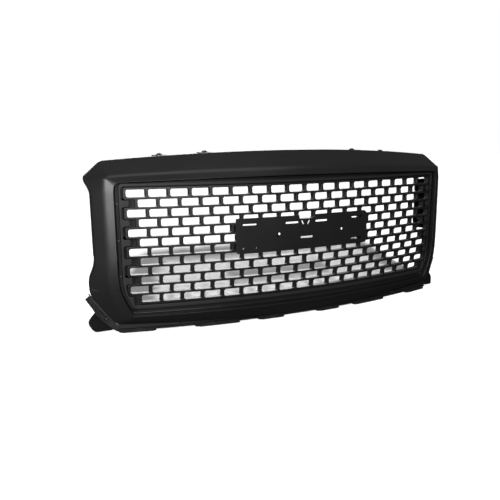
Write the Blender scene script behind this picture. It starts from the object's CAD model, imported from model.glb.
"""Looks of the front grille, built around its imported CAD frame.

Lengths in the shape sections are millimetres, as in the CAD source, and turn into metres when a
vertex is placed. X runs across the vehicle, -Y faces forward, +Z is up.
"""

import math

import bmesh
import bpy
from mathutils import Matrix, Vector
from mathutils.geometry import delaunay_2d_cdt


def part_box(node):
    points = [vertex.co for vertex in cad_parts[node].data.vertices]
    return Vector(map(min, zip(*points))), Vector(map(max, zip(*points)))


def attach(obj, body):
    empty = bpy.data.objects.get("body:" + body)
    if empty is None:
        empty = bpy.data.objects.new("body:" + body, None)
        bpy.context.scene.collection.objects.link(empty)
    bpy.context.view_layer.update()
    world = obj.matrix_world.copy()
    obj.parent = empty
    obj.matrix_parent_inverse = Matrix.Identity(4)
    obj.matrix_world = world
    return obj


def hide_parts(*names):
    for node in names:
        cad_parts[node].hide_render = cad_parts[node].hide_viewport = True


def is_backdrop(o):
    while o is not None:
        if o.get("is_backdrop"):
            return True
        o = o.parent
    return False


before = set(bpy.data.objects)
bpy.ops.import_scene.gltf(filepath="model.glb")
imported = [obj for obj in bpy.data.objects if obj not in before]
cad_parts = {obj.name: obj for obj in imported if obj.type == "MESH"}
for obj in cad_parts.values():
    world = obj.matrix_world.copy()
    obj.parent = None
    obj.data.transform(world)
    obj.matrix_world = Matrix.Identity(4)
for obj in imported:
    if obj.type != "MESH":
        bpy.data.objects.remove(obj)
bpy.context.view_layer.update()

MM = 0.001
BODY = "grille"

# ---------------------------------------------------------------- shared dimensions

PLAN_R = 1990
RISE_R = 1350
ROWS = 12
COLS = 18
CELL_PITCH = 52
ROW_PITCH = 24
BAR_X = 6.5
BAR_Z = 5.5
CELL_R = 4
MESH_DEPTH = 15.5
MESH_TOP = 366
MID_Z = MESH_TOP - ROWS * ROW_PITCH / 2
MESH_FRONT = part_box("mesh_insert")[0].y / MM
SEAT = 16.6
WALL = 3


def plan(x):
    """How far the sweep carries a point back at a distance x from the centre line."""
    return PLAN_R - math.sqrt(PLAN_R * PLAN_R - x * x)


def swept(x, e):
    """Y of a point that stands e behind the swept front of the mesh."""
    return MESH_FRONT + plan(x) + e


def lean(z):
    """How far the mesh leans back at height z."""
    return RISE_R - math.sqrt(RISE_R * RISE_R - (z - MID_Z) ** 2)


def row_z(row):
    return MESH_TOP - (row - 0.5) * ROW_PITCH


# ---------------------------------------------------------------- outlines in X and Z


def rounded_loop(points, radii, arc=5):
    """Closed outline with its corners rounded; radii is one radius or one for each point."""
    loop = []
    count = len(points)
    for i, here in enumerate(points):
        radius = radii[i] if isinstance(radii, (list, tuple)) else radii
        p = Vector(here)
        back = Vector(points[i - 1]) - p
        ahead = Vector(points[(i + 1) % count]) - p
        turn = back.angle(ahead)
        if radius <= 0 or turn > math.pi - 0.01:
            loop.append(p)
            continue
        reach = min(radius / math.tan(turn / 2), 0.49 * back.length, 0.49 * ahead.length)
        start = p + back.normalized() * reach
        end = p + ahead.normalized() * reach
        for k in range(arc + 1):
            t = k / arc
            loop.append(start.lerp(p, t).lerp(p.lerp(end, t), t))
    return loop


def spaced(loop, step):
    """The same outline with extra points, so that no edge is longer than step."""
    result = []
    for i, p in enumerate(loop):
        q = loop[(i + 1) % len(loop)]
        parts = max(1, math.ceil((q - p).length / step))
        result.extend(p.lerp(q, k / parts) for k in range(parts))
    return result


def box_loop(x, z, width, height, radius, arc=5):
    w, h = width / 2, height / 2
    corners = [(x - w, z - h), (x + w, z - h), (x + w, z + h), (x - w, z + h)]
    return rounded_loop(corners, radius, arc)


def circle_loop(x, z, radius, count=20):
    turns = [2 * math.pi * k / count for k in range(count)]
    return [Vector((x + radius * math.cos(a), z + radius * math.sin(a))) for a in turns]


def turned_box_loop(x, z, width, height, radius, degrees):
    """Rounded box turned about its centre."""
    a = math.radians(degrees)
    flat = box_loop(0, 0, width, height, radius, 3)
    return [Vector((x + p.x * math.cos(a) - p.y * math.sin(a),
                    z + p.x * math.sin(a) + p.y * math.cos(a))) for p in flat]


def symmetric(right_side):
    """Anticlockwise outline from its right half, given from the bottom up."""
    return right_side + [(-x, z) for x, z in reversed(right_side)]


def offset(loop, distance):
    """Moves an anticlockwise outline inward by distance; a negative distance moves it outward."""
    moved = []
    for i, p in enumerate(loop):
        before = (p - loop[i - 1]).normalized()
        after = (loop[(i + 1) % len(loop)] - p).normalized()
        normal = Vector((-before.y - after.y, before.x + after.x))
        if normal.length < 1e-6:
            moved.append(p.copy())
            continue
        normal.normalize()
        share = max(0.4, normal.dot(Vector((-before.y, before.x))))
        moved.append(p + normal * (distance / share))
    return moved


def inside(loop, q):
    """Whether a point lies inside an outline."""
    hits = 0
    for i, a in enumerate(loop):
        b = loop[i - 1]
        if (a.y > q.y) != (b.y > q.y) and q.x < a.x + (q.y - a.y) / (b.y - a.y) * (b.x - a.x):
            hits += 1
    return hits % 2 == 1


def interior_points(loops, step):
    """Staggered points between the outline and the holes, which keep a curved face smooth."""
    xs, zs = [p.x for p in loops[0]], [p.y for p in loops[0]]
    points = []
    for j in range(1, int((max(zs) - min(zs)) / step)):
        for i in range(1, int((max(xs) - min(xs)) / step)):
            q = Vector((min(xs) + (i + 0.5 * (j % 2)) * step, min(zs) + j * step))
            clear = all((p - q).length > step / 3 for loop in loops for p in loop)
            if clear and inside(loops[0], q) and not any(inside(loop, q) for loop in loops[1:]):
                points.append(q)
    return points


def filled(points, edges, loops):
    """Triangles between the outline and the holes; each point comes with the number of its loop.

    Known fault: the test uses the outlines before their bevel, so a few slivers stay in, or go
    missing, at rounded corners. report.md says how many.
    """
    found = delaunay_2d_cdt([q for q, _ in points], edges, [], 1, 1e-5)
    index = [ids[0] for ids in found[3]]
    triangles = []
    for face in found[2]:
        tri = [index[k] for k in face]
        owners = {points[k][1] for k in tri}
        middle = sum((points[k][0] for k in tri), Vector((0, 0))) / 3
        owner = owners.pop()
        if not owners and owner >= 0 and inside(loops[owner], middle) != (owner == 0):
            continue
        triangles.append(tri)
    return triangles


# ---------------------------------------------------------------- solids


class Shape:
    """Vertices in metres and faces of one piece, which may have several closed parts."""

    def __init__(self):
        self.verts = []
        self.faces = []

    def add(self, verts, faces):
        start = len(self.verts)
        self.verts.extend(verts)
        self.faces.extend([start + i for i in face] for face in faces)

    def loft(self, rings, closed):
        """Skins a list of closed rings of points, given in millimetres."""
        count, size = len(rings), len(rings[0])
        faces = []
        for i in range(count if closed else count - 1):
            low, high = i * size, (i + 1) % count * size
            faces += [[low + j, low + (j + 1) % size, high + (j + 1) % size, high + j]
                      for j in range(size)]
        if not closed:
            faces.append(list(range(size)))
            faces.append([(count - 1) * size + j for j in range(size)])
        self.add([Vector(p) * MM for ring in rings for p in ring], faces)

    def lathe(self, profile, origin, axis, sides=24):
        """Turns a profile of (radius, height) round an axis; it ends on the axis or in a hole."""
        axis = Vector(axis).normalized()
        side = axis.orthogonal().normalized()
        other = axis.cross(side)
        rings = []
        for radius, height in profile:
            centre = Vector(origin) + axis * height
            rings.append([centre + side * radius * math.cos(2 * math.pi * k / sides)
                          + other * radius * math.sin(2 * math.pi * k / sides)
                          for k in range(sides)])
        self.loft(rings, closed=profile[0] == profile[-1])

    def panel(self, loops, e_front, e_back, bevel, place, back_bevel=0.4, grid=0, arc=3):
        """Plate with a rounded front edge: loops[0] is its outline, the others are its holes."""
        depth = e_back - e_front
        quarter = [math.pi / 2 * k / arc for k in range(arc + 1)]
        rings = [(bevel * (1 - math.sin(a)), bevel * (1 - math.cos(a))) for a in quarter]
        rings += [(0, depth - back_bevel), (back_bevel, depth)]
        verts, faces, edges, fronts, backs = [], [], [], [], []
        for n, loop in enumerate(loops):
            size, start = len(loop), len(verts)
            inward = 1 if n == 0 else -1
            for inset, down in rings:
                verts += [place(p.x, p.y, e_front + down) for p in offset(loop, inward * inset)]
            for k in range(len(rings) - 1):
                low, high = start + k * size, start + (k + 1) * size
                faces += [[low + j, low + (j + 1) % size, high + (j + 1) % size, high + j]
                          for j in range(size)]
            edges += [(len(fronts) + j, len(fronts) + (j + 1) % size) for j in range(size)]
            fronts += [(start + j, q, n) for j, q in enumerate(offset(loop, inward * bevel))]
            last = start + (len(rings) - 1) * size
            backs += [(last + j, q, n) for j, q in enumerate(offset(loop, inward * back_bevel))]
        inner = interior_points(loops, grid) if grid else []
        for side, e in ((fronts, e_front), (backs, e_back)):
            for q in inner:
                side.append((len(verts), q, -1))
                verts.append(place(q.x, q.y, e))
            points = [(q, n) for _, q, n in side]
            faces += [[side[k][0] for k in tri] for tri in filled(points, edges, loops)]
        self.add(verts, faces)

    def box(self, low, high):
        """Closed box between two corners, in millimetres."""
        (x0, y0, z0), (x1, y1, z1) = low, high
        corners = [Vector((x, y, z)) for z in (z0, z1)
                   for x, y in ((x0, y0), (x1, y0), (x1, y1), (x0, y1))]
        self.loft([corners[:4], corners[4:]], closed=False)


def on_sweep(x, z, e):
    return Vector((x, swept(x, e), z)) * MM


def on_mesh(x, z, e):
    return Vector((x, swept(x, e + lean(z)), z)) * MM


def piece(name, shape, material, slot_name, *nodes, sharp=35, soften=0.0):
    """Makes one object from a shape, with smooth shading between its sharp edges."""
    mesh = bpy.data.meshes.new(name)
    mesh.from_pydata(shape.verts, [], shape.faces)
    bm = bmesh.new()
    bm.from_mesh(mesh)
    bmesh.ops.delete(bm, geom=[v for v in bm.verts if not v.link_faces], context="VERTS")
    bmesh.ops.recalc_face_normals(bm, faces=bm.faces)
    for face in bm.faces:
        face.smooth = True
    bm.to_mesh(mesh)
    bm.free()
    mesh.set_sharp_from_angle(angle=math.radians(sharp))
    mesh.materials.append(material)
    obj = bpy.data.objects.new(name, mesh)
    bpy.context.scene.collection.objects.link(obj)
    if soften:
        add_bevel(obj, soften)
    normals = obj.modifiers.new("normals", "WEIGHTED_NORMAL")
    normals.keep_sharp = True
    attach(obj, BODY)
    if nodes:
        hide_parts(*nodes)
    return obj


def add_bevel(obj, width):
    bevel = obj.modifiers.new("edges", "BEVEL")
    bevel.width = width * MM
    bevel.segments = 2
    bevel.limit_method = "ANGLE"
    bevel.angle_limit = math.radians(40)
    bevel.use_clamp_overlap = True


# ---------------------------------------------------------------- materials


def new_material(name):
    material = bpy.data.materials.new(name)
    material.use_nodes = True
    tree = material.node_tree
    return material, tree, tree.nodes["Principled BSDF"]


def noise(tree, scale, detail, roughness=0.5, stretch=None):
    """Noise in the object's own coordinates."""
    coords = tree.nodes.new("ShaderNodeTexCoord")
    texture = tree.nodes.new("ShaderNodeTexNoise")
    texture.inputs["Scale"].default_value = scale
    texture.inputs["Detail"].default_value = detail
    texture.inputs["Roughness"].default_value = roughness
    source = coords.outputs["Object"]
    if stretch:
        mapping = tree.nodes.new("ShaderNodeMapping")
        mapping.inputs["Scale"].default_value = stretch
        tree.links.new(source, mapping.inputs["Vector"])
        source = mapping.outputs["Vector"]
    tree.links.new(source, texture.inputs["Vector"])
    return texture.outputs["Fac"]


def spread(tree, source, low, high):
    """Maps the middle of a noise to the range from low to high."""
    node = tree.nodes.new("ShaderNodeMapRange")
    node.inputs["From Min"].default_value = 0.3
    node.inputs["From Max"].default_value = 0.7
    node.inputs["To Min"].default_value = low
    node.inputs["To Max"].default_value = high
    tree.links.new(source, node.inputs["Value"])
    return node.outputs["Result"]


def tint(tree, source, dark, light):
    node = tree.nodes.new("ShaderNodeMix")
    node.data_type = "RGBA"
    node.inputs["A"].default_value = (*dark, 1)
    node.inputs["B"].default_value = (*light, 1)
    tree.links.new(source, node.inputs["Factor"])
    return node.outputs["Result"]


def bump(tree, shader, source, strength, distance):
    node = tree.nodes.new("ShaderNodeBump")
    node.inputs["Strength"].default_value = strength
    node.inputs["Distance"].default_value = distance
    tree.links.new(source, node.inputs["Height"])
    tree.links.new(node.outputs["Normal"], shader.inputs["Normal"])


def moulded(name, dark, light, rough, specular, grain, grain_depth):
    """Moulded plastic: a fine even grain, with slow changes of tone and gloss."""
    material, tree, shader = new_material(name)
    slow = noise(tree, 7, 3)
    fine = noise(tree, grain, 4, 0.6)
    tree.links.new(tint(tree, slow, dark, light), shader.inputs["Base Color"])
    tree.links.new(spread(tree, slow, rough[0], rough[1]), shader.inputs["Roughness"])
    shader.inputs["Specular IOR Level"].default_value = specular
    bump(tree, shader, fine, 0.35, grain_depth)
    return material


def metal(name, dark, light, rough, metallic):
    """Plated or coated steel with a faint drawn grain."""
    material, tree, shader = new_material(name)
    cloud = noise(tree, 160, 5)
    drawn = noise(tree, 400, 4, 0.6, stretch=(1, 1, 0.1))
    tree.links.new(tint(tree, cloud, dark, light), shader.inputs["Base Color"])
    tree.links.new(spread(tree, cloud, rough[0], rough[1]), shader.inputs["Roughness"])
    shader.inputs["Metallic"].default_value = metallic
    bump(tree, shader, drawn, 0.2, 0.00005)
    return material


SATIN = moulded("satin_black", (0.0125, 0.0125, 0.013), (0.0155, 0.0155, 0.016),
                (0.28, 0.34), 0.45, 1500, 0.00003)
GREY = moulded("moulded_grey", (0.019, 0.019, 0.020), (0.023, 0.023, 0.024),
               (0.44, 0.5), 0.45, 1200, 0.00005)
MESH_BLACK = moulded("mesh_black", (0.012, 0.012, 0.0125), (0.015, 0.015, 0.0155),
                     (0.38, 0.45), 0.45, 1300, 0.00005)
BRACKET = moulded("bracket_plastic", (0.014, 0.014, 0.0145), (0.018, 0.018, 0.0185),
                  (0.5, 0.6), 0.4, 900, 0.00008)
NYLON = moulded("retainer_nylon", (0.018, 0.018, 0.019), (0.024, 0.024, 0.025),
                (0.42, 0.5), 0.5, 1100, 0.00004)
RUBBER = moulded("flap_rubber", (0.004, 0.004, 0.004), (0.006, 0.006, 0.006),
                 (0.75, 0.85), 0.2, 700, 0.0001)
CLIP_STEEL = metal("clip_steel", (0.045, 0.045, 0.047), (0.07, 0.07, 0.072), (0.35, 0.45), 0.7)
ZINC = metal("zinc_steel", (0.42, 0.43, 0.45), (0.56, 0.57, 0.59), (0.28, 0.4), 1.0)

# By slot of the record
MATERIALS = {"satin_black": SATIN, "moulded_grey": GREY, "mesh_black": MESH_BLACK,
             "bracket_plastic": BRACKET, "retainer_nylon": NYLON, "flap_rubber": RUBBER,
             "clip_steel": CLIP_STEEL, "zinc_steel": ZINC}

# ---------------------------------------------------------------- surround

# Guide lines from the top centre, round the right side, to the bottom centre:
# [x, set-back from the mesh sweep, z, corner radius], as in the CAD source.
LIP = [[0, -4, 381.5, 0], [470, -5, 381.5, 6], [493.5, -5.5, 380.5, 17], [494, -6, 354, 6],
       [494, -8, 176, 20], [493, -6.5, 131, 25], [488, -5.5, 103, 24], [463, -4, 48, 7],
       [0, -4, 48, 0]]
CREASE = [[0, 9, 396.5, 0], [495, 6, 396.5, 6], [513, 4, 394.5, 4], [514.5, 1, 366, 6],
          [514.5, 0, 176, 20], [515, 1, 131, 25], [511, 3, 96, 24], [482, 5, 33, 12],
          [0, 5, 29, 0]]
EDGE = [[0, 70, 432.5, 0], [510, 71, 432, 14], [557, 42, 391, 14], [543, 22, 356, 14],
        [543, 18.5, 178, 18], [557.5, 30, 136, 16], [556, 32, 98, 9], [500, 20, 22, 14],
        [0, 13.5, 17.5, 0]]
LEDGE = [[0, SEAT, 369, 0], [455, SEAT, 369, 4], [474, SEAT, 369, 6], [474, SEAT, 354, 4],
         [474, SEAT, 176, 20], [474, SEAT, 131, 15], [470, SEAT, 106, 14], [452, SEAT, 74, 6],
         [0, SEAT, 74, 0]]
LIP_CROWN = (7.5, -2)
CREASE_CROWN = (12.5, 0)
EDGE_CROWN = (20, -7.5)
LEDGE_CROWN = (0, 0)
STEPS = (56, 4, 4, 24, 6, 6, 8, 56)
ARC_STEPS = 9
RECESS_DRAFT = 2.5
FLANGE_DEPTH = 28
FLANGE_DRAFT = 2
# Fillet at each corner of the cross-section, from the ledge outward and back along the inner skin
FILLETS = (0.4, 2.2, 2.6, 9, 3.2, 0.9, 0.9, 1.5, 6, 1.2, 1, 0.4)
FILLET_STEPS = 4


def toward(p, q, distance):
    a, b = Vector(p[:3]), Vector(q[:3])
    return a + (b - a).normalized() * distance


def half_line(nodes, crowns):
    """Right half of one guide line: straight stretches in equal steps, corners as curves."""
    last = len(nodes) - 1
    into = [Vector(n[:3]) if i == 0 else toward(n, nodes[i - 1], n[3]) for i, n in enumerate(nodes)]
    out = [Vector(n[:3]) if i == last else toward(n, nodes[i + 1], n[3]) for i, n in enumerate(nodes)]
    line = []
    for i in range(last):
        for s in range(STEPS[i]):
            p = out[i].lerp(into[i + 1], s / STEPS[i])
            if i == 0:
                p.z += crowns[0] * (1 - (p.x / into[1].x) ** 2)
            elif i == last - 1:
                p.z += crowns[1] * (1 - (p.x / out[i].x) ** 2)
            line.append(p)
        if i < last - 1:
            corner = Vector(nodes[i + 1][:3])
            for s in range(ARC_STEPS):
                t = s / ARC_STEPS
                line.append(into[i + 1].lerp(corner, t).lerp(corner.lerp(out[i + 1], t), t))
    line.append(into[last] + Vector((0, 0, crowns[1])))
    return line


def filleted_ring(points, fillets):
    """One cross-section of the surround with its corners rounded."""
    ring = []
    for i, p in enumerate(points):
        back = points[i - 1] - p
        ahead = points[(i + 1) % len(points)] - p
        start = p + back.normalized() * min(fillets[i], 0.45 * back.length)
        end = p + ahead.normalized() * min(fillets[i], 0.45 * ahead.length)
        for k in range(FILLET_STEPS + 1):
            t = k / FILLET_STEPS
            ring.append(start.lerp(p, t).lerp(p.lerp(end, t), t))
    return ring


def surround_section(ledge, lip, crease, edge):
    """Closed cross-section through the four guide lines: the outer skin, then the inner skin."""
    across = Vector((edge.x - lip.x, edge.z - lip.z)).normalized()

    def placed(p, u, v, e=None):
        x, z = p.x + u * across.x, p.z + u * across.y
        return Vector((x, swept(x, (p.y if e is None else e) + v), z))

    return [placed(ledge, 0, 0), placed(lip, -RECESS_DRAFT, 0, SEAT), placed(lip, 0, 0),
            placed(crease, 0, 0), placed(edge, 0, 0), placed(edge, -FLANGE_DRAFT, FLANGE_DEPTH),
            placed(edge, -FLANGE_DRAFT - WALL, FLANGE_DEPTH), placed(edge, -WALL, 0.5 * WALL),
            placed(crease, -0.5 * WALL, 0.87 * WALL), placed(lip, WALL, 1.6 * WALL),
            placed(lip, WALL - RECESS_DRAFT, WALL, SEAT), placed(ledge, 0, WALL)]


def make_surround():
    lines = [half_line(LEDGE, LEDGE_CROWN), half_line(LIP, LIP_CROWN),
             half_line(CREASE, CREASE_CROWN), half_line(EDGE, EDGE_CROWN)]
    right = [filleted_ring(surround_section(*station), FILLETS) for station in zip(*lines)]
    left = [[Vector((-p.x, p.y, p.z)) for p in ring] for ring in right[-2:0:-1]]
    shape = Shape()
    shape.loft(right + left, closed=True)
    piece("surround", shape, SATIN, "satin_black", "surround_shell", sharp=50)


# ---------------------------------------------------------------- bezel and mesh

BEZEL_FRONT = 2
BEZEL_BACK = 13
BEZEL_BASE = 3
BEZEL_X = 482
BASE_X = 489
TOOTH_H = 16.4
TOOTH_X = 459.5
POCKET_X = 477
POCKET_TOP = 371
POCKET_BOTTOM = 74.5
KNEE_Z = 131
RIM_FRONT = 13.3
RIM_BACK = 15.8
SIDE_BOSS_X = 486.5
SIDE_BOSSES = (330, 240, 150)
LONG_STEP = 14
WINDOW_ROW = 6
WINDOW_CELLS = 7
MESH_BEVEL = 1.3
BEZEL_BEVEL = 1.2
SIDE_BOSS_START = 9
SIDE_BOSS_PROFILE = [(3.4, 0), (4, 0.6), (4, 3)]


def tapered(x, top, bottom, knee=104):
    """Outline with cut lower corners, like the opening of the surround, from the bottom up."""
    side = [(x - 24, bottom), (x - 5, knee), (x, KNEE_Z), (x, top)]
    return spaced(rounded_loop(symmetric(side), [12, 20, 12, 8, 8, 12, 20, 12]), LONG_STEP)


def pocket_outline():
    """Inner outline of the bezel, with a tooth into every second row of the mesh."""
    side = [(456.9, POCKET_BOTTOM), (459.5, 98), (470.5, 98)]
    radii = [3, 6, 5]
    for row in range(ROWS - 2, 0, -2):
        z = row_z(row)
        side += [(POCKET_X, z - TOOTH_H / 2), (TOOTH_X, z - TOOTH_H / 2),
                 (TOOTH_X, z + TOOTH_H / 2), (POCKET_X, z + TOOTH_H / 2)]
        radii += [5, 4, 4, 5]
    side.append((POCKET_X, POCKET_TOP))
    radii.append(8)
    return spaced(rounded_loop(symmetric(side), radii + radii[::-1]), LONG_STEP)


def mesh_outline(grow=0.0):
    """Stepped outline of the mesh: long rows stand out between the short ones."""
    half_row = ROW_PITCH / 2 + BAR_Z / 2 + grow
    short = (COLS - 1) * CELL_PITCH / 2 + BAR_X / 2 + grow
    long = COLS * CELL_PITCH / 2 + BAR_X / 2 + grow
    side = [(short, row_z(ROWS) - half_row)]
    radii = [5]
    for row in range(ROWS - 1, 0, -2):
        z = row_z(row)
        side += [(short, z - half_row), (long, z - half_row), (long, z + half_row)]
        radii += [2, 5, 5]
        if row > 1:
            side.append((short, z + half_row))
            radii.append(2)
    return spaced(rounded_loop(symmetric(side), radii + radii[::-1]), LONG_STEP)


def window_outline():
    """Opening behind the plate, where three rows of the mesh have no bars."""
    wide = WINDOW_CELLS * CELL_PITCH / 2 + (CELL_PITCH - BAR_X) / 2
    narrow = WINDOW_CELLS * CELL_PITCH / 2
    half = (ROW_PITCH - BAR_Z) / 2
    upper, lower = row_z(WINDOW_ROW - 1), row_z(WINDOW_ROW + 1)
    side = [(wide, lower - half), (wide, lower + half), (narrow, lower + half),
            (narrow, upper - half), (wide, upper - half), (wide, upper + half)]
    radii = [4, 4, 2, 2, 4, 4]
    return spaced(rounded_loop(symmetric(side), radii + radii[::-1]), LONG_STEP)


def cell_loops():
    """The window and every cell of the mesh outside it."""
    loops = [window_outline()]
    for row in range(1, ROWS + 1):
        count = COLS if row % 2 else COLS - 1
        for i in range(count):
            x, z = (i - (count - 1) / 2) * CELL_PITCH, row_z(row)
            if abs(row - WINDOW_ROW) > 1 or abs(x) > (WINDOW_CELLS + 0.5) * CELL_PITCH / 2:
                loops.append(spaced(box_loop(x, z, CELL_PITCH - BAR_X, ROW_PITCH - BAR_Z, CELL_R), 20))
    return loops


def make_mesh():
    """Brick-pattern mesh, and the flat rim round it that the screws go through."""
    shape = Shape()
    shape.panel([mesh_outline()] + cell_loops(), 0, MESH_DEPTH, MESH_BEVEL, on_mesh)
    shape.panel([tapered(BASE_X - 1, 377.4, 64), mesh_outline(-1.5)], RIM_FRONT, RIM_BACK, 0.3, on_sweep)
    piece("mesh", shape, MESH_BLACK, "mesh_black", "mesh_insert", sharp=50)


def make_bezel():
    """Ring with teeth, its wider base, and the round bosses in the side grooves."""
    shape = Shape()
    shape.panel([tapered(BEZEL_X, 378, 65), pocket_outline()],
                BEZEL_FRONT, BEZEL_BACK, BEZEL_BEVEL, on_sweep)
    shape.panel([tapered(BASE_X, 379, 64), tapered(BEZEL_X - 1, 377, 66)],
                BEZEL_BACK - BEZEL_BASE, BEZEL_BACK, 0.4, on_sweep)
    for side in (-1, 1):
        for z in SIDE_BOSSES:
            x = side * SIDE_BOSS_X
            shape.lathe(SIDE_BOSS_PROFILE, (x, swept(x, SIDE_BOSS_START), z), (0, 1, 0))
    piece("bezel", shape, GREY, "moulded_grey", "bezel_ring", sharp=50)


# ---------------------------------------------------------------- emblem plate

PLATE_W = 404
PLATE_H = 92
PLATE_T = 3
PLATE_FRONT = -3.5
PLATE_Z = MID_Z + 15
SLOT = (38, 5)
SLOTS = [(-165, 29.5), (-165, -32), (-45, 27.5), (45, 27.5), (165, 30), (165, -31), (0, -14)]
PLATE_HOLES = [(-82, 0), (113, 0)]
HOLE_R = 3.5
NOTCH_W = 46
NOTCH_LOW = row_z(4) - 9
CHAMFER = 5.6
PLATE_BOSS_X = 193
PLATE_BOSS_R = 5
PLATE_BOSS_L = MESH_DEPTH + 3.8
RETURN_H = 16


def plate_outline():
    w, low, high = PLATE_W / 2, PLATE_Z - PLATE_H / 2, PLATE_Z + PLATE_H / 2
    corners = [(-w + CHAMFER, low), (w - CHAMFER, low), (w, low + CHAMFER), (w, high - 9),
               (w - 9, high), (NOTCH_W / 2, high), (NOTCH_W / 2, NOTCH_LOW),
               (-NOTCH_W / 2, NOTCH_LOW), (-NOTCH_W / 2, high), (-w, high), (-w, low + CHAMFER)]
    return spaced(rounded_loop(corners, [1, 1, 1, 1, 1, 1.5, 3, 3, 1.5, 1.5, 1], 3), 12)


def make_plate():
    """Plate with slots, holes and a notch, and behind it its end returns and screw bosses."""
    loops = [plate_outline()]
    loops += [box_loop(x, PLATE_Z + z, *SLOT, SLOT[1] / 2 - 0.1, 4) for x, z in SLOTS]
    loops += [circle_loop(x, PLATE_Z + z, HOLE_R) for x, z in PLATE_HOLES]
    loops += [turned_box_loop(s * 9 - 4, PLATE_Z + 26, 3.4, 12, 0.8, -s * 26) for s in (-1, 1)]
    shape = Shape()
    shape.panel(loops, PLATE_FRONT, PLATE_FRONT + PLATE_T, 0.7, on_sweep, grid=17)
    for s in (-1, 1):
        x = s * PLATE_W / 2
        for row in (5, 6, 7):
            y = swept(x, PLATE_FRONT + 1)
            low = (min(x, x - 2 * s), y, row_z(row) - RETURN_H / 2)
            shape.box(low, (low[0] + 2, y + 9, low[2] + RETURN_H))
        for row in (5, 7):
            x = s * PLATE_BOSS_X
            profile = [(PLATE_BOSS_R, 0), (PLATE_BOSS_R, PLATE_BOSS_L - 0.6),
                       (PLATE_BOSS_R - 0.6, PLATE_BOSS_L), (1.75, PLATE_BOSS_L)]
            shape.lathe(profile, (x, swept(x, PLATE_FRONT + 1.5), row_z(row)), (0, 1, 0))
    piece("plate", shape, MESH_BLACK, "mesh_black", "emblem_plate", sharp=50)


# ---------------------------------------------------------------- lower corners

# Inner and outer border of the corner strip, from its top end down to the tab, as in the CAD source
STRIP_IN = [(556, 32, 97), (545, 30, 82), (533, 27, 65.5), (517, 24, 44), (504, 22, 27),
            (493, 20, 12), (488, 19, 3.4)]
STRIP_OUT = [(568, 34, 86), (555, 32, 64), (541, 30, 40), (526, 28, 24), (513, 26, 11),
             (503, 24, 3.4), (496, 23, 0)]
STRIP_BEHIND = 6
STRIP_T = 3
STRIP_RETURN = 18
STRIP_PARTS = 5
GROOVES = (0.34, 0.68)
GROOVE_W = 0.12
GROOVE_DEPTH = 4
GROOVE_END = 0.62
RIVET = (534, 46)
RIVET_HOLE_R = 2.05
STRIP_HOLE = (520, 34)
STRIP_HOLE_R = 3.2
STRIP_BOSSES = [(RIVET, 6, 35), (STRIP_HOLE, 5.2, 34)]
BOSS_GAP = 0.3
FLAP_Y = 40
FLAP_T = 6
FLAP_OUTLINE = [(503, 0), (552, 0), (567, 22), (545, 48), (536, 57), (527, 54), (516, 26)]
FLAP_RADII = [3.5, 16, 20, 14, 6, 6, 8]
# The flap curves forward below the height FLAP_TURN, by FLAP_LEAN at its foot
FLAP_LEAN = 17
FLAP_TURN = 34


def along(points, parts):
    """Points of a smooth curve through the given ones."""
    line = []
    for i in range(len(points) - 1):
        p = [Vector(points[max(0, min(len(points) - 1, i + k))]) for k in (-1, 0, 1, 2)]
        for s in range(parts):
            t = s / parts
            line.append(0.5 * (2 * p[1] + (p[2] - p[0]) * t
                               + (2 * p[0] - 5 * p[1] + 4 * p[2] - p[3]) * t * t
                               + (3 * p[1] - p[0] - 3 * p[2] + p[3]) * t ** 3))
    line.append(Vector(points[-1]))
    return line


def strip_profile(depth):
    """Front of the strip from its inner to its outer border, as (share of the width, set-back)."""
    profile = [(0, 0.9), (0.03, 0.25), (0.08, 0)]
    for middle in GROOVES:
        profile += [(middle - GROOVE_W, 0), (middle - 0.6 * GROOVE_W, depth),
                    (middle + 0.6 * GROOVE_W, depth), (middle + GROOVE_W, 0)]
    return profile + [(0.92, 0), (0.97, 0.25), (1, 0.9)]


def make_strip(side, name):
    """Ribbed strip, with a boss for its rivet and one round its dark hole."""
    inner, outer = along(STRIP_IN, STRIP_PARTS), along(STRIP_OUT, STRIP_PARTS)
    rings = []
    for i, (a, b) in enumerate(zip(inner, outer)):
        fade = min(1, max(0, (GROOVE_END - i / (len(inner) - 1)) * 12))
        c = a + (b - a).normalized() * STRIP_T

        def point(p, back):
            return Vector((side * p.x, swept(p.x, p.y + STRIP_BEHIND) + back, p.z))

        ring = [point(a.lerp(b, share), back) for share, back in strip_profile(GROOVE_DEPTH * fade)]
        rings.append(ring + [point(b, STRIP_T), point(c, STRIP_T), point(c, STRIP_RETURN),
                             point(a, STRIP_RETURN)])
    shape = Shape()
    shape.loft(rings, closed=False)
    for place, radius, start in STRIP_BOSSES:
        x = side * place[0]
        length = FLAP_Y - BOSS_GAP - swept(x, start)
        shape.lathe([(radius, 0), (radius, length - 0.5), (radius - 0.5, length)],
                    (x, swept(x, start), place[1]), (0, 1, 0))
    strip = piece(name, shape, BRACKET, "bracket_plastic", name.replace("_ribbed", ""), sharp=30)
    cutter = Shape()
    cutter.lathe([(STRIP_HOLE_R, 0), (STRIP_HOLE_R, 60)],
                 (side * STRIP_HOLE[0], swept(STRIP_HOLE[0], 5), STRIP_HOLE[1]), (0, 1, 0))
    drill(strip, cutter)


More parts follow.
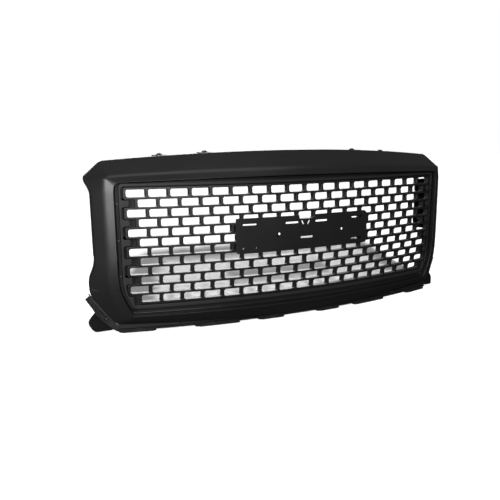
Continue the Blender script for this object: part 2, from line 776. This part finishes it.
def drill(obj, cutter_shape):
    """Cuts a shape out of an object and keeps the result as its mesh."""
    mesh = bpy.data.meshes.new("cutter")
    mesh.from_pydata(cutter_shape.verts, [], cutter_shape.faces)
    bm = bmesh.new()
    bm.from_mesh(mesh)
    bmesh.ops.recalc_face_normals(bm, faces=bm.faces)
    bm.to_mesh(mesh)
    bm.free()
    cutter = bpy.data.objects.new("cutter", mesh)
    bpy.context.scene.collection.objects.link(cutter)
    cut = obj.modifiers.new("cut", "BOOLEAN")
    cut.object = cutter
    cut.operation = "DIFFERENCE"
    cut.solver = "EXACT"
    cut.use_self = True
    with bpy.context.temp_override(object=obj, active_object=obj, selected_objects=[obj]):
        bpy.ops.object.modifier_move_to_index(modifier="cut", index=0)
        bpy.ops.object.modifier_apply(modifier="cut")
    bpy.data.objects.remove(cutter)


def make_flap(side, name):
    """Rounded rubber flap that curves forward at its foot."""
    loop = spaced(rounded_loop(FLAP_OUTLINE, FLAP_RADII, 7), 6)
    if side < 0:
        loop = [Vector((-p.x, p.y)) for p in reversed(loop)]
    shape = Shape()

    def place(x, z, e):
        return Vector((x, e - FLAP_LEAN * max(0, 1 - z / FLAP_TURN) ** 2, z)) * MM

    hole = circle_loop(side * RIVET[0], RIVET[1], RIVET_HOLE_R)
    shape.panel([loop, hole], FLAP_Y, FLAP_Y + FLAP_T, 1.8, place, back_bevel=1.2, grid=7)
    piece(name, shape, RUBBER, "flap_rubber", name.replace("_rubber", ""), sharp=50)


# ---------------------------------------------------------------- lower retainer

LOWER_HALF = 495
SHELF = (17, 41)
SHELF_Z = (6.5, 9)
TABS = [(52, 130), (182, 304), (403, 495)]
TAB_DEPTH = (17, 36)
TAB_T = 3
TAB_ROUND = 9
TAB_ROUND_STEPS = 5
FRONT_LIP = ((17, 20), (0, 5))
BACK_LIP = ((33, 36), (0, 7))
WEB = (28, 31)
WEB_GAP = 0.3
LOWER_SCREWS = (-345, -150, 150, 345)
LOWER_SCREW_E = 30
LOWER_BOSS_R = 6
LOWER_HOLE_R = 2.25
BAR_STEP = 9


def bottom_z(x):
    """Height of the surround's lower flange."""
    (_, _, middle, _), (reach, _, end, corner) = EDGE[8], EDGE[7]
    return (middle + (end - middle) * abs(x) / reach
            + EDGE_CROWN[1] * (1 - (x / (reach - corner)) ** 2))


def lower_bar(shape, depth, height, x0, x1, round_ends=0):
    """Bar swept across the vehicle; height is (low, high) at a place x."""
    count = max(2, round((x1 - x0) / BAR_STEP))
    places = [x0 + (x1 - x0) * i / count for i in range(count + 1)]
    if round_ends:
        turns = [round_ends * (1 - math.cos(math.pi / 2 * k / TAB_ROUND_STEPS))
                 for k in range(TAB_ROUND_STEPS)]
        places = ([x0 + t for t in turns]
                  + [x for x in places if x0 + round_ends < x < x1 - round_ends]
                  + [x1 - t for t in reversed(turns)])
    rings = []
    for x in places:
        short = 0
        if round_ends:
            reach = max(0, round_ends - min(x - x0, x1 - x))
            short = round_ends - math.sqrt(max(0, round_ends ** 2 - reach ** 2))
        low, high = height(x)
        front, back = swept(x, depth[0] + min(short, round_ends - 1)), swept(x, depth[1])
        rings.append([(x, front, low), (x, back, low), (x, back, high), (x, front, high)])
    shape.loft(rings, closed=False)


def make_lower():
    """Shelf, tabs and screw bosses as in the CAD, with the web that closes the gap above the shelf."""
    shape = Shape()
    lower_bar(shape, SHELF, lambda x: SHELF_Z, -LOWER_HALF, LOWER_HALF)
    lower_bar(shape, WEB, lambda x: (SHELF_Z[1] - 0.5, max(SHELF_Z[1], bottom_z(x) - WEB_GAP)),
              -LOWER_HALF, LOWER_HALF)
    for side in (-1, 1):
        for near, far in TABS:
            x0, x1 = sorted((side * near, side * far))
            lower_bar(shape, TAB_DEPTH, lambda x: (0, TAB_T), x0, x1, TAB_ROUND)
            lower_bar(shape, FRONT_LIP[0], lambda x: FRONT_LIP[1], x0 + TAB_ROUND, x1 - TAB_ROUND)
            lower_bar(shape, BACK_LIP[0], lambda x: BACK_LIP[1], x0, x1)
    for x in LOWER_SCREWS:
        tall = bottom_z(x) - SHELF_Z[0] - WEB_GAP
        shape.lathe([(LOWER_HOLE_R, 0), (LOWER_BOSS_R, 0), (LOWER_BOSS_R, tall), (LOWER_HOLE_R, tall),
                     (LOWER_HOLE_R, 0)], (x, swept(x, LOWER_SCREW_E), SHELF_Z[0]), (0, 0, 1))
    piece("lower_retainer_webbed", shape, BRACKET, "bracket_plastic", "lower_retainer",
          sharp=30, soften=0.4)


# ---------------------------------------------------------------- parts that keep their CAD shape

SOFT_EDGES = 0.35


def dress(node, material, width=SOFT_EDGES):
    """Gives a CAD node its material and slightly rounded edges."""
    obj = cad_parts[node]
    obj.data.materials.clear()
    obj.data.materials.append(material)
    weld = obj.modifiers.new("weld", "WELD")
    weld.merge_threshold = 0.00001
    if width:
        add_bevel(obj, width)


make_surround()
make_bezel()
make_mesh()
make_plate()
make_lower()
for side, word in ((-1, "left"), (1, "right")):
    make_strip(side, f"corner_strip_{word}_ribbed")
    make_flap(side, f"corner_flap_{word}_rubber")

shown = [name for name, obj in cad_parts.items() if not obj.hide_render]
NODE_SLOTS = {"retainer": "retainer_nylon", "screws": "zinc_steel", "washers": "zinc_steel",
              "rivets": "zinc_steel", "nuts": "clip_steel", "clips": "clip_steel"}
for name in shown:
    slot_name = "bracket_plastic"
    for word, value in NODE_SLOTS.items():
        if word in name and name != "lower_retainer":
            slot_name = value
    dress(name, MATERIALS[slot_name], 0 if slot_name == "zinc_steel" else SOFT_EDGES)

# ---------------------------------------------------------------- camera

CAMERA_AT = Vector((-0.7282, -1.3281, 0.4823))
CAMERA_YAW = math.radians(24.33)
CAMERA_PITCH = math.radians(-11.66)
CAMERA_ROLL = math.radians(-0.29)
CAMERA_FOV = math.radians(49.67)
SENSOR_WIDTH = 36


def make_camera():
    """Camera at the photograph's viewing angle, solved from the mesh pattern and the edges."""
    data = bpy.data.cameras.new("camera")
    data.sensor_width = SENSOR_WIDTH
    data.angle = CAMERA_FOV
    camera = bpy.data.objects.new("camera", data)
    bpy.context.scene.collection.objects.link(camera)
    forward = Vector((math.sin(CAMERA_YAW) * math.cos(CAMERA_PITCH),
                      math.cos(CAMERA_YAW) * math.cos(CAMERA_PITCH), math.sin(CAMERA_PITCH)))
    camera.matrix_world = (forward.to_track_quat("-Z", "Y").to_matrix().to_4x4()
                           @ Matrix.Rotation(CAMERA_ROLL, 4, "Z"))
    camera.location = CAMERA_AT
    bpy.context.scene.camera = camera


make_camera()

# ---------------------------------------------------------------- studio

FLOOR_HALF = 12.0
SKY_LOW = 0.02
SKY_HIGH = 0.12
KEY_YAW = math.radians(20)
KEY_RISE = math.radians(24)
KEY_SOFTNESS = math.radians(4)
KEY_STRENGTH = 10

# Name, place, target, width and height in metres, power in watts
FLOOR_BOX = ("floor_box", (0, 0.5, 4.5), (0, 0.5, 0), (4, 4), 60)
OBJECT_BOXES = [("left_box", (-2.5, -1.5, 0.62), (-0.5, 0, 0.62), (0.7, 1.2), 45),
                ("front_box", (-0.9, -2.9, 1.3), (0, 0, 0.2), (2.0, 1.2), 55),
                ("top_box", (-0.1, -0.2, 2.6), (0, 0, 0.3), (2.4, 0.9), 9),
                ("back_box", (0.5, 2.7, 1.1), (0, 0, 0.2), (2.4, 1.2), 60)]


def area_light(name, place, target, size, power):
    data = bpy.data.lights.new(name, "AREA")
    data.shape = "RECTANGLE"
    data.size, data.size_y = size
    data.energy = power
    light = bpy.data.objects.new(name, data)
    light.location = place
    light.rotation_euler = (Vector(target) - Vector(place)).to_track_quat("-Z", "Y").to_euler()
    bpy.context.scene.collection.objects.link(light)
    return light


def collection(name, objects):
    """A named set of objects, for lamps that light only these."""
    made = bpy.data.collections.new(name)
    for obj in objects:
        made.objects.link(obj)
    return made


def add_stage(name, verts, material):
    """Flat stage piece of one face."""
    mesh = bpy.data.meshes.new(name)
    mesh.from_pydata(verts, [], [(0, 1, 2, 3)])
    mesh.materials.append(material)
    obj = bpy.data.objects.new(name, mesh)
    bpy.context.scene.collection.objects.link(obj)
    obj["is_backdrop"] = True
    return obj


def paper(name):
    """Matt pale surface for the floor."""
    material, tree, shader = new_material(name)
    fibres = noise(tree, 40, 3)
    tree.links.new(tint(tree, fibres, (0.78, 0.78, 0.78), (0.8, 0.8, 0.8)), shader.inputs["Base Color"])
    shader.inputs["Roughness"].default_value = 0.9
    shader.inputs["Specular IOR Level"].default_value = 0.1
    return material


def make_floor():
    """Plain pale floor, left out of what the dark plastic mirrors."""
    corners = [(x * FLOOR_HALF, y * FLOOR_HALF, 0) for x, y in ((-1, -1), (1, -1), (1, 1), (-1, 1))]
    floor = add_stage("floor", corners, paper("floor_pale"))
    floor.visible_diffuse = False
    floor.visible_glossy = False
    return floor


def make_world():
    """White where it is seen; as light it is dim, and a little brighter overhead."""
    world = bpy.data.worlds.new("studio")
    bpy.context.scene.world = world
    world.use_nodes = True
    tree = world.node_tree
    coords = tree.nodes.new("ShaderNodeTexCoord")
    split = tree.nodes.new("ShaderNodeSeparateXYZ")
    tree.links.new(coords.outputs["Generated"], split.inputs["Vector"])
    ramp = tree.nodes.new("ShaderNodeMapRange")
    ramp.interpolation_type = "SMOOTHSTEP"
    for key, number in (("From Min", -0.3), ("From Max", 0.9), ("To Min", SKY_LOW), ("To Max", SKY_HIGH)):
        ramp.inputs[key].default_value = number
    tree.links.new(split.outputs["Z"], ramp.inputs["Value"])
    light = tree.nodes["Background"]
    light.inputs["Color"].default_value = (1, 1, 1, 1)
    tree.links.new(ramp.outputs["Result"], light.inputs["Strength"])
    seen = tree.nodes.new("ShaderNodeBackground")
    seen.inputs["Color"].default_value = (1, 1, 1, 1)
    seen.inputs["Strength"].default_value = 1
    path = tree.nodes.new("ShaderNodeLightPath")
    mix = tree.nodes.new("ShaderNodeMixShader")
    tree.links.new(path.outputs["Is Camera Ray"], mix.inputs["Fac"])
    tree.links.new(light.outputs["Background"], mix.inputs[1])
    tree.links.new(seen.outputs["Background"], mix.inputs[2])
    tree.links.new(mix.outputs["Shader"], tree.nodes["World Output"].inputs["Surface"])


def sun_light(name, yaw, rise):
    """Distant soft lamp that comes from the front left."""
    data = bpy.data.lights.new(name, "SUN")
    data.energy = KEY_STRENGTH
    data.angle = KEY_SOFTNESS
    light = bpy.data.objects.new(name, data)
    way = Vector((math.sin(yaw) * math.cos(rise), math.cos(yaw) * math.cos(rise), -math.sin(rise)))
    light.rotation_euler = way.to_track_quat("-Z", "Y").to_euler()
    bpy.context.scene.collection.objects.link(light)
    return light


lit_floor = collection("lit_floor", [make_floor()])
lit_object = collection("lit_object", [o for o in bpy.context.scene.objects
                                       if o.type == "MESH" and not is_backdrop(o)])
for lamp in (sun_light("floor_key", KEY_YAW, KEY_RISE), area_light(*FLOOR_BOX)):
    lamp.light_linking.receiver_collection = lit_floor
for box in OBJECT_BOXES:
    area_light(*box).light_linking.receiver_collection = lit_object
make_world()
bpy.context.scene.view_settings.view_transform = "Standard"
